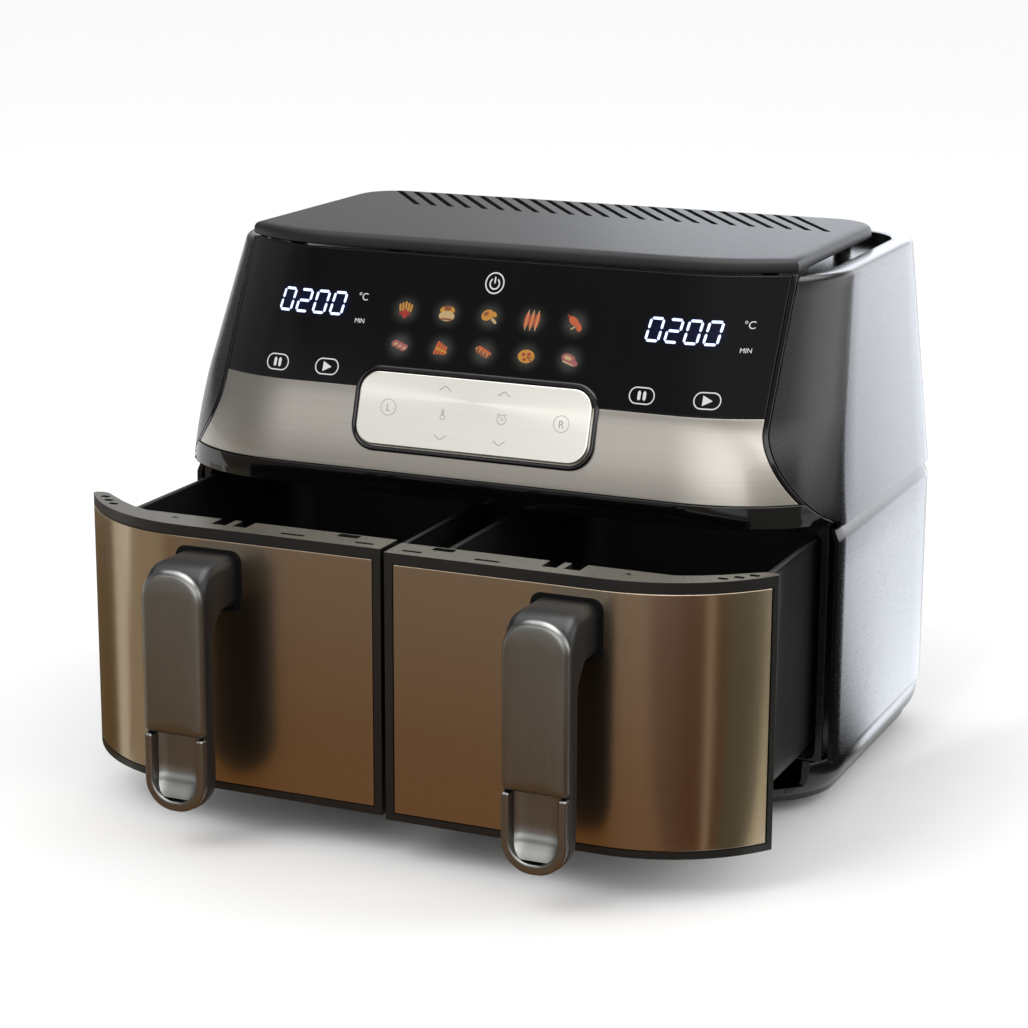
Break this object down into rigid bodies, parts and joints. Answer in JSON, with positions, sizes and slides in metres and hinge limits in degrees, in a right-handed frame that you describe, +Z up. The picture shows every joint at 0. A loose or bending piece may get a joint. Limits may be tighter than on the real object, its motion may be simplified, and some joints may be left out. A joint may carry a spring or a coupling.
{
  "type": "dual-drawer air fryer",
  "caption": "Countertop air fryer with two side-by-side steel-fronted drawers, hanging handles, a bowed glossy control panel, a steel touch pad and a raised vented top.",
  "frame": {"origin": "on the worktop, at the centre of the footprint box measured with both drawers part open as stored", "axes": "+Z up, front with the drawers faces -Y, +X to the right as seen from the front"},
  "size_m": [0.3944, 0.405, 0.3004],
  "materials": {
    "shell_plastic": "satin black moulding",
    "cover_plastic": "fine matt texture",
    "gloss_panel": "piano black",
    "brushed_steel": "fine horizontal brushing",
    "pad_steel": "fine brushed, bright",
    "satin_silver": "satin silver",
    "sheet_steel": "plain aluminised sheet",
    "nonstick_coat": "dark non-stick coating",
    "rubber": "matt",
    "circuit_board": "green solder mask",
    "aluminium": "plain",
    "heater_steel": "heat-darkened tube",
    "pale_nylon": "natural nylon"
  },
  "bodies": {
    "body": {"base_pan": "shell_plastic", "lower_shell": "shell_plastic", "upper_shell": "shell_plastic", "top_deck": "shell_plastic", "front_frame": "shell_plastic", "top_cover": "cover_plastic", "fascia_frame": "gloss_panel", "control_window": "gloss_panel", "touch_bezel": "gloss_panel", "steel_trim": "brushed_steel", "touch_pad": "pad_steel", "control_board": "circuit_board", "power_board": "circuit_board", "cord_gland": "rubber", "foot_front_left": "rubber", "foot_rear_left": "rubber", "rear_grille_left": "shell_plastic", "display_left": "pale_nylon", "chamber_left": "sheet_steel", "heat_shield_left": "sheet_steel", "heater_left": "heater_steel", "fan_motor_left": "aluminium", "temperature_sensor_left": "aluminium", "drawer_switch_left": "shell_plastic", "foot_front_right": "rubber", "foot_rear_right": "rubber", "rear_grille_right": "shell_plastic", "display_right": "pale_nylon", "chamber_right": "sheet_steel", "heat_shield_right": "sheet_steel", "heater_right": "heater_steel", "fan_motor_right": "aluminium", "temperature_sensor_right": "aluminium", "drawer_switch_right": "shell_plastic"},
    "left_fan": {"hot_air_fan_left": "aluminium", "fan_shaft_left": "aluminium", "cooling_fan_left": "pale_nylon"},
    "left_plunger": {"switch_plunger_left": "pale_nylon"},
    "left_drawer": {"drawer_front_left": "shell_plastic", "steel_front_left": "brushed_steel", "pan_left": "nonstick_coat", "handle_left": "shell_plastic", "handle_cover_left": "satin_silver", "handle_scoop_left": "satin_silver"},
    "left_crisper": {"crisper_plate_left": "nonstick_coat"},
    "right_fan": {"hot_air_fan_right": "aluminium", "fan_shaft_right": "aluminium", "cooling_fan_right": "pale_nylon"},
    "right_plunger": {"switch_plunger_right": "pale_nylon"},
    "right_drawer": {"drawer_front_right": "shell_plastic", "steel_front_right": "brushed_steel", "pan_right": "nonstick_coat", "handle_right": "shell_plastic", "handle_cover_right": "satin_silver", "handle_scoop_right": "satin_silver"},
    "right_crisper": {"crisper_plate_right": "nonstick_coat"}
  },
  "joints": [
    {"name": "left_drawer_slide", "type": "slide", "parent": "body", "child": "left_drawer", "axis": [0, -1, 0], "range_m": [-0.1015, 0.13]},
    {"name": "left_crisper_lift", "type": "slide", "parent": "left_drawer", "child": "left_crisper", "axis": [0, 0, 1], "range_m": [0, 0.095]},
    {"name": "left_fan_spin", "type": "hinge", "parent": "body", "child": "left_fan", "pos_m": [-0.097, 0.0905, 0.18], "axis": [0, 0, 1], "continuous": true},
    {"name": "left_plunger_slide", "type": "slide", "parent": "body", "child": "left_plunger", "axis": [0, 1, 0], "range_m": [0, 0.0025], "stiffness_N_per_m": 150},
    {"name": "right_drawer_slide", "type": "slide", "parent": "body", "child": "right_drawer", "axis": [0, -1, 0], "range_m": [-0.106, 0.13]},
    {"name": "right_crisper_lift", "type": "slide", "parent": "right_drawer", "child": "right_crisper", "axis": [0, 0, 1], "range_m": [0, 0.095]},
    {"name": "right_fan_spin", "type": "hinge", "parent": "body", "child": "right_fan", "pos_m": [0.097, 0.0905, 0.18], "axis": [0, 0, 1], "continuous": true},
    {"name": "right_plunger_slide", "type": "slide", "parent": "body", "child": "right_plunger", "axis": [0, 1, 0], "range_m": [0, 0.0025], "stiffness_N_per_m": 150}
  ]
}
